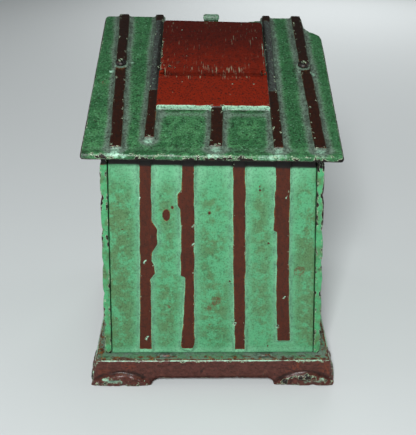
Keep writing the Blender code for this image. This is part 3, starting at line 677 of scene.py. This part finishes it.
# --- walls ----------------------------------------------------------------------------
# Edges of the back wall's battens as (x, height), from the foot up.
REAR_BATTENS = (
    ([(-32.1, 13.8), (-30.8, 40), (-29.4, 75), (-27.4, 130)],
     [(-26.6, 13.8), (-25.8, 52), (-23.8, 55), (-24.1, 59), (-25.0, 61),
      (-24.7, 65), (-22.4, 69), (-22.3, 76), (-24.4, 80), (-22.7, 130)]),
    ([(-13.2, 15.2), (-13.8, 17.5), (-11.6, 45), (-11.3, 53), (-13.2, 53.8), (-12.6, 85),
      (-13.8, 87), (-13.8, 92), (-12.0, 94), (-10.9, 130)],
     [(-9.2, 14.2), (-7.9, 18), (-7.5, 54), (-6.6, 130)]),
    ([(9.8, 13.6), (8.6, 60), (7.7, 130)],
     [(14.2, 13.6), (13.7, 60), (12.6, 130)]),
    ([(28.3, 19.6), (27.0, 42), (26.3, 74.6), (24.9, 75.2), (24.6, 130)],
     [(33.8, 19.6), (32.5, 42), (31.2, 75), (30.0, 130)]),
)


def inside_bar(across, height, left, right, lift=0.0):
    """How far a point is inside a bar between two wandering edges, in millimetres."""
    left_edge = np.interp(height, [z for _, z in left], [x for x, _ in left])
    right_edge = np.interp(height, [z for _, z in right], [x for x, _ in right])
    sideways = np.minimum(across - left_edge, right_edge - across)
    foot = min(left[0][1], right[0][1]) + lift
    return np.minimum(sideways, height - foot)


def end_wall_enamel(name):
    """Green dip with brown battens, brushed up and down."""
    return enamel(name, tint("wall_green"), tint("wall_deep"), tint("olive"), tint("mint"),
                  tint("brown"), tint("deep_brown"), (1, 1, 0.45), dirty=0.62, pores=0.35,
                  grit=0.3)


def eave_shadow_band(across, height):
    """1 in the painted shadow that the eave casts across the tops of the walls."""
    return ramp(height + 0.025 * across, 103.7, 104.3)


class BANK_OT_rear_wall(bpy.types.Operator):
    """Grow the low end wall with its four uneven battens"""
    bl_idname = "bank.rear_wall"
    bl_label = "Rear wall"

    def execute(self, context):
        skin = Skin("rear_wall")
        across, depth, height = skin.points.T
        outer = ramp(REAR_FACE - depth, -0.6, 0.0)
        skin.points[:, 0] += 0.14 * soft_noise(skin.points, (3, 40, 5), 21) * outer * ramp(
            42 - np.abs(across), 0, 2)
        skin.sand(24, 0.8)
        across, depth, height = skin.points.T
        out = REAR_FACE - depth
        face = ramp(out, -0.7, -0.1)
        wobble = 0.25 * soft_noise(skin.points, (2.5, 40, 3.5), 27)
        inside = np.max([inside_bar(across, height, *bar) for bar in REAR_BATTENS], axis=0)
        painted = np.max([inside_bar(across, height, *bar, 1.9 - 1.4 * (number == 3))
                          for number, bar in enumerate(REAR_BATTENS)], axis=0)
        knot = ramp(1.75 - np.hypot(across + 18.4, (height - 82.3) / 1.75), 0, 0.4)
        spots = np.maximum(knot, dots(across, height, WALL_SPOTS))
        bars = ramp(painted + wobble, -0.75, 0.85) * ramp(out, 0.3, 0.6)
        skin.mark("brown", np.maximum(bars, spots * face))
        outside = np.maximum(-inside, 0)
        rub = 0.7 * np.exp(-outside / 1.1) + 0.4 * np.exp(-outside / 4.0)
        # the wall turns paler towards its top, both here and in the darkening set below
        top = 0.35 * ramp(height, 88, 104)
        foot = 0.45 * near(height, 14, 2.5)
        skin.mark("halo", np.clip(rub + top + foot, 0, 1) * face)
        skin.mark("stain", dots(across, height, WALL_STAINS, 1.6) * 0.95 * face)
        skin.mark("dirt", (0.3 + 0.35 * ramp(soft_noise(skin.points, 20.0, 29), -0.4, 0.4)
                           - 0.5 * ramp(height, 85, 104) - 0.4 * near(across, 2, 14)) * face)
        # painted shadow of the eave across the wall's top
        skin.mark("soot", eave_shadow_band(across, height))
        # pale rings where paint lifted round bubbles, and a painted highlight as a pale line along
        # each batten's edge
        bubbles = [(x, z, 1.45 * radius) for x, z, radius in WALL_RINGS]
        rising = rings(across, height, bubbles) * face
        skin.mark("rubbed", (rising + 0.42 * np.exp(-outside / 0.8) * (1 - bars)) * face)
        shade = 0.7 * rings(across + 0.5, height + 0.4, bubbles) * face
        skin.mark_wear(0.34, shade, 0.5)
        skin.finish("rear_wall_casting", "bank",
                    end_wall_enamel("rear_wall_enamel"))
        return {"FINISHED"}


class BANK_OT_front_wall(bpy.types.Operator):
    """Grow the high end wall with its plank door, window and battens"""
    bl_idname = "bank.front_wall"
    bl_label = "Front wall"

    def execute(self, context):
        skin = Skin("front_wall")
        skin.sand(34, 0.8)
        across, depth, height = skin.points.T
        out = depth - FRONT_FACE
        face = ramp(out, -0.7, -0.1)
        raised = ramp(out, 0.35, 0.65)
        on_door = between(across, -12.2, 12.2, 0.1) * between(height, 15.8, 81.2, 0.1)
        skin.mark("brown", np.maximum(raised, on_door * ramp(out, -0.9, -0.2)))
        ring = np.clip(skin.averaged(raised, 14)[:, 0] * 2.2, 0, 1) * (1 - raised)
        skin.mark("halo", ring * face * (1 - on_door))
        in_window = between(across, -8.8, 8.8, 0.1) * between(height, 96.8, 113.2, 0.1)
        skin.mark("slate", in_window * (1 - raised))
        skin.mark_wear(0.36, 0.0, 0.7)
        skin.finish("front_wall_casting", "bank",
                    end_wall_enamel("front_wall_enamel"))
        return {"FINISHED"}


class BANK_OT_side_walls(bpy.types.Operator):
    """Grow the two boarded side walls"""
    bl_idname = "bank.side_walls"
    bl_label = "Side walls"

    def execute(self, context):
        material = enamel("board_enamel", tint("board_green"), tint("wall_deep"),
                          tint("olive"), tint("mint"), tint("brown"),
                          tint("deep_brown"), (1, 0.25, 1), dirty=0.7, pores=0.4)
        for node, side, seed in (("left_wall", -1, 40), ("right_wall", 1, 50)):
            skin = Skin(node)
            across, depth, height = skin.points.T
            outer = ramp(side * across - JOINT_HALF + WALL_BATTER * (height - BASE_TOP), 0.9, 2.0)
            skin.points[:, 2] += 0.45 * soft_noise(skin.points, (60, 9, 12), seed) * outer * ramp(
                height, 14, 18)
            scallops = ramp(soft_noise(skin.points, (60, 5, 4), seed + 1), 0.0, 0.8)
            skin.points[:, 0] -= side * 0.25 * scallops * outer
            skin.sand(seed + 2, 1.3)
            across, depth, height = skin.points.T
            course = ((height - BASE_TOP - 0.3) / BOARD_HEIGHT) % 1
            joint = near(np.minimum(course, 1 - course), 0, 0.06) * outer
            on_side = ramp(42.3 - np.abs(depth), 0, 0.3)
            skin.mark("halo", outer * near(course, 0.5, 0.3) * 0.6 * on_side)
            skin.mark("dirt", 0.6 * on_side)
            patchy = ramp(soft_noise(skin.points, (20, 4, 4), seed + 5), -0.1, 0.4)
            skin.mark("stain", 0.8 * joint * patchy)
            skin.mark("brown", ramp(height, 103, 107) * ramp(-41.5 - depth, 0, 0.3)
                      * ramp(soft_noise(skin.points, 4.0, seed + 6), -0.1, 0.2))
            # painted shadow of the eave on the boarded ends
            skin.mark("soot", (1 - on_side) * eave_shadow_band(across, height))
            skin.mark_wear(0.46 + 0.35 * patchy, 0.25 * joint * patchy)
            skin.finish(node + "_casting", "bank", material)
        return {"FINISHED"}


# --- base -----------------------------------------------------------------------------
class BANK_OT_base(bpy.types.Operator):
    """Grow the bracket-foot base, with a cove over each swollen foot"""
    bl_idname = "bank.base"
    bl_label = "Base"

    def execute(self, context):
        skin = Skin("base", cell=0.55 * MM, passes=4)
        across, depth, height = skin.points.T
        direction = skin.normals()
        share = np.clip(height / BASE_TOP, 0, 1)
        for axis, other in ((0, 1), (1, 0)):
            reach = FOOT_HALF[axis] + (BASE_HALF[axis] - FOOT_HALF[axis]) * share
            position = skin.points[:, axis]
            side = np.sign(position)
            on_face = ramp(side * position - reach, -1.1, -0.3) * ramp(
                side * direction[:, axis], -0.1, 0.4)
            along = np.abs(skin.points[:, other])
            inner_end = FOOT_HALF[other] - FOOT_LENGTH
            middle = inner_end + FOOT_LENGTH / 2
            arch = 6.2 * (1 - ((along - middle) / (FOOT_LENGTH / 2 + 0.5)) ** 2)
            flare = (FOOT_HALF[axis] - BASE_HALF[axis]) * (1 - share)
            lumps = 1 + 0.4 * soft_noise(skin.points, (2.6, 2.6, 1.4), 62 + axis)
            bead = 2.1 * ramp(arch - height, -0.5, 1.3) * lumps
            skin.points[:, axis] += side * on_face * np.minimum(
                bead - flare * 0.92, FOOT_HALF[axis] - 0.05 - side * position)
        skin.soften(ramp(skin.points[:, 2], 12.5, 12.8), 14)
        rim = ramp(skin.roundness(6), 0.05, 0.16)
        skin.push(-0.2 * ramp(soft_noise(skin.points, 2.4, 61), 0.1, 0.8) * rim
                  * ramp(skin.points[:, 2], 0.4, 1.2))
        skin.sand(64, 1.4)
        across, depth, height = skin.points.T
        direction = skin.normals()
        faces_up = ramp(direction[:, 2], 0.35, 0.8)
        outer_edge = np.maximum(np.abs(across) - BASE_HALF[0], np.abs(depth) - BASE_HALF[1])
        border = ramp(outer_edge, -1.3, -0.5)
        by_the_wall = ramp(outer_edge, -3.0, -4.2)
        skin.mark("brown", np.clip((1 - faces_up) + 0.46 * faces_up * (1 - 0.5 * by_the_wall)
                                   + 0.4 * border * faces_up, 0, 1))
        skin.mark("halo", 0.35 * faces_up)
        # pale patches on the foot beads and a pale line along the base's top edge: partly worn
        # paint, partly painted highlight
        on_bead = ramp(outer_edge, 0.6, 1.1) * near(height, 3.0, 2.6)
        blotches = ramp(soft_noise(skin.points, (3.4, 3.4, 1.2), 66), -0.3, 0.4)
        line = near(height, 12.3, 0.5) * near(outer_edge, -0.35, 0.5)
        stops = ramp(height, 12.9, 13.4)
        patchy = (0.65 + 0.15 * (across < 0)) * on_bead * blotches
        skin.mark("rubbed", np.clip(patchy + 0.85 * line, 0, 1))
        skin.mark("stain", 0.9 * ramp(soft_noise(skin.points, 6.0, 70), -0.3, 0.4)
                  * (1 - faces_up) * near(height, 8, 5) * ramp(np.hypot(across, depth), 52, 62))
        bare = ramp(soft_noise(skin.points, (4, 4, 2), 71), 0.0, 0.5)
        # the stops are darkened with painted shade to dim the highlight the key lamp puts on them
        skin.mark("dull", stops)
        skin.mark("soot", 0.6 * stops)
        skin.mark_wear(0.5 * (1 - 0.9 * stops), on_bead * 0.42 * bare, 1.0)
        material = enamel("base_enamel", tint("dust"), tint("wall_deep"),
                          tint("olive"), tint("dust"), tint("base_brown"),
                          tint("deep_brown"), (0.6, 0.6, 1.0), dirty=0.6, pores=0.5,
                          streaks=0.9, grit=0.25, bloom=tint("bloom"), gloss=0.38)
        skin.finish("base_casting", "bank", material)
        return {"FINISHED"}


# --- hatch ----------------------------------------------------------------------------
class BANK_OT_hatch(bpy.types.Operator):
    """Grow the red hatch, its knob and its hinge pin"""
    bl_idname = "bank.hatch"
    bl_label = "Roof hatch"

    def execute(self, context):
        material = enamel("hatch_enamel", tint("roof_green"), tint("roof_deep_and_shade"),
                          tint("roof_deep_and_shade"), tint("lip_and_highlight"), tint("roof_brown"),
                          tint("deep_brown"), (1, 0.12, 1), pores=0.75)
        skin = Skin("roof_hatch", ROOF_PLANE, cell=0.4 * MM, passes=2)
        # the barrel swells towards the fixed panel, within the room it turns in
        across, up_slope, above = skin.points.T
        pin_at, pin_above = BARREL
        from_pin = np.hypot(up_slope - pin_at, above - pin_above)
        swell = ramp(pin_at - up_slope, 0, 0.4) * ramp(above, 0.7, 1.1) * (from_pin > 1.4)
        grown = 1 + swell * (np.maximum(1.98 / np.maximum(from_pin, 0.1), 1) - 1)
        skin.points[:, 1] = pin_at + (up_slope - pin_at) * grown
        skin.points[:, 2] = np.minimum(pin_above + (above - pin_above) * grown,
                                       np.maximum(above, 2.2))
        skin.sand(80, 0.8 * ramp(skin.points[:, 1], 56, 58))
        across, up_slope, above = skin.points.T
        direction = skin.normals()
        far_edge = np.interp(across, PANEL_SIDES, HATCH_ENDS)
        skin.mark("red", np.maximum(ramp(direction[:, 2], 0.1, 0.5), up_slope < 58)
                  * ramp(far_edge + 0.4 - up_slope, 0, 0.3))
        seam = near(up_slope, 56, 3.5) * between(across, -20, 14, 5)
        corner = near(np.hypot(across - 17, up_slope - 87), 0, 6)
        patchy = ramp(soft_noise(skin.points, (6, 9, 40), 81), -0.2, 0.5)
        skin.mark("scuff", (0.4 + 0.45 * seam + 0.3 * corner) * (0.6 + 0.4 * patchy))
        # darker towards the hatch's far end: partly soiling, partly painted shade of the light
        # falling off up the slope
        skin.mark("dirt", 0.45 + 0.55 * ramp(up_slope, 56, 90))
        # painted shade along the hinge seam, to hide the highlight on the barrel's swell
        at_seam = near(up_slope, 52, 1.4)
        skin.mark("dull", at_seam)
        skin.mark("soot", 0.45 * at_seam)
        # a painted highlight as a pale line along the hatch's right edge, and pale dabs
        line = near(across, 22.3, 0.3) * between(up_slope, 56, 76, 3)
        dabs = dots(across, up_slope, HATCH_DABS) * (above > 1.5)
        skin.mark("rubbed", np.maximum(line * 0.75, dabs * 0.7))
        chips = 0.9 * dots(across, up_slope, HATCH_CHIPS) * (above > 1.5)
        left = ramp(-21.0 - across, 0, 0.8) * between(up_slope, 56, 78, 2) * 0.35
        skin.mark_wear(0.22 * ramp(up_slope, 58, 60), chips + 1.3 * left, 0.6)
        skin.finish("hatch_casting", "hatch", material)

        knob = Skin("hatch_knob", ROOF_PLANE, cell=0.2 * MM, passes=4)
        knob.sand(90, 0.8)
        above = knob.points[:, 2]
        knob.mark("halo", np.full(len(knob.points), 0.7))
        knob.mark_wear(0.9, 0.15 * ramp(above, 3.6, 4.1))
        material = enamel("knob_enamel", tint("mint"), tint("dust"),
                          tint("dust"), tint("dust"), tint("brown"),
                          tint("deep_brown"), pores=0.6, grit=0.5)
        knob.finish("knob_casting", "hatch", material)

        pin = Skin("hinge_pin", ROOF_PLANE, cell=0.2 * MM, passes=1)
        pin.finish("pin_wire", "bank", dark_iron("drawn_pin_iron"))
        return {"FINISHED"}


# --- screws ---------------------------------------------------------------------------
class BANK_OT_screws(bpy.types.Operator):
    """Grow the slotted round-head screws"""
    bl_idname = "bank.screws"
    bl_label = "Screws"

    def execute(self, context):
        material = dark_iron("worn_screw_iron")
        for node in frame["nodes"]:
            if "_screw_" not in node:
                continue
            on_roof = node.startswith("roof")
            skin = Skin(node, ROOF_PLANE if on_roof else Matrix.Identity(4), 0.17 * MM, 2)
            skin.push(0.03 * soft_noise(skin.points, 0.8, 95))
            across, up_slope, above = skin.points.T
            if on_roof:
                x, y = ROOF_SCREWS[1] if "right" in node else ROOF_SCREWS[0]
                gap = np.hypot(across - x, up_slope - y)
                # pale top of the head: partly worn paint, partly painted highlight
                skin.mark("crown", 0.75 * ramp(1.7 - gap, 0, 0.8) * ramp(above, 3.0, 3.3))
            skin.finish(node + "_turned", "bank", material)
        return {"FINISHED"}


# --- stage ----------------------------------------------------------------------------
def softbox(name, place, aim, size, power):
    """A square soft lamp that faces a point."""
    lamp = bpy.data.lights.new(name, "AREA")
    lamp.shape = "SQUARE"
    lamp.size = size
    lamp.energy = power
    item = bpy.data.objects.new(name, lamp)
    item.location = place
    item.rotation_mode = "QUATERNION"
    item.rotation_quaternion = (Vector(aim) - Vector(place)).to_track_quat("-Z", "Y")
    bpy.context.scene.collection.objects.link(item)
    return item


class BANK_OT_stage(bpy.types.Operator):
    """Set up the camera, the pale floor and the soft lamps"""
    bl_idname = "bank.stage"
    bl_label = "Stage"

    def execute(self, context):
        scene = context.scene
        stage = scene.bank_stage
        camera = bpy.data.cameras.new("bank_camera")
        camera.sensor_width = 36.0
        camera.lens = 66.2
        camera.shift_y = -0.052
        camera.clip_start = 0.01
        item = bpy.data.objects.new("bank_camera", camera)
        item.matrix_world = (Matrix.Translation((-0.001, -stage.distance, stage.height))
                             @ Matrix.Rotation(radians(0.13), 4, "Z")
                             @ Matrix.Rotation(pi / 2 - stage.pitch, 4, "X")
                             @ Matrix.Rotation(radians(-0.3), 4, "Z"))
        scene.collection.objects.link(item)
        scene.camera = item

        floor_mesh = bpy.data.meshes.new("paper_floor")
        half = 3.0
        floor_mesh.from_pydata([(-half, -half, 0), (half, -half, 0), (half, half, 0),
                                (-half, half, 0)], [], [(0, 1, 2, 3)])
        floor = bpy.data.objects.new("paper_floor", floor_mesh)
        scene.collection.objects.link(floor)
        paper, _, shader = new_material("matt_backing_paper")
        shader.inputs["Base Color"].default_value = linear("#C9CECF")
        shader.inputs["Roughness"].default_value = 0.9
        floor_mesh.materials.append(paper)

        middle = (0, 0, 0.07)
        softbox("key_softbox", (-0.06, -0.52, 0.47), middle, 0.12, stage.key)
        softbox("left_softbox", (-0.60, 0.05, 0.22), middle, 0.40, stage.fill)
        softbox("right_softbox", (0.60, 0.10, 0.22), middle, 0.40, stage.fill)
        back = softbox("back_softbox", (0.15, 0.65, 0.30), middle, 0.40, stage.fill * 2)
        back.visible_glossy = False
        world = bpy.data.worlds.new("even_light")
        world.use_nodes = True
        background = world.node_tree.nodes["Background"]
        background.inputs["Color"].default_value = linear("#E4EAEA")
        background.inputs["Strength"].default_value = stage.sky
        scene.world = world
        scene.view_settings.view_transform = "Standard"
        return {"FINISHED"}


class BANK_PT_panel(bpy.types.Panel):
    """Lists the steps that build the bank"""
    bl_idname = "BANK_PT_panel"
    bl_label = "Cabin bank"
    bl_space_type = "VIEW_3D"
    bl_region_type = "UI"
    bl_category = "Cabin bank"

    def draw(self, context):
        for step in STEPS:
            self.layout.operator(step.bl_idname)
        for name, group in GROUPS.items():
            for field in group.__annotations__:
                self.layout.prop(getattr(context.scene, name), field)


STEPS = (BANK_OT_stage, BANK_OT_base, BANK_OT_side_walls, BANK_OT_rear_wall, BANK_OT_front_wall,
         BANK_OT_roof, BANK_OT_hatch, BANK_OT_screws)
GROUPS = {"bank_paint": BankPaint, "bank_casting": BankCasting, "bank_stage": BankStage}


def register():
    for group in GROUPS.values():
        bpy.utils.register_class(group)
    for step in (*STEPS, BANK_PT_panel):
        bpy.utils.register_class(step)
    for name, group in GROUPS.items():
        setattr(bpy.types.Scene, name, PointerProperty(type=group))


def unregister():
    for name in GROUPS:
        delattr(bpy.types.Scene, name)
    for step in (BANK_PT_panel, *reversed(STEPS)):
        bpy.utils.unregister_class(step)
    for group in GROUPS.values():
        bpy.utils.unregister_class(group)


def main():
    register()
    for step in STEPS:
        group, name = step.bl_idname.split(".")
        getattr(getattr(bpy.ops, group), name)()


if __name__ == "__main__":
    main()
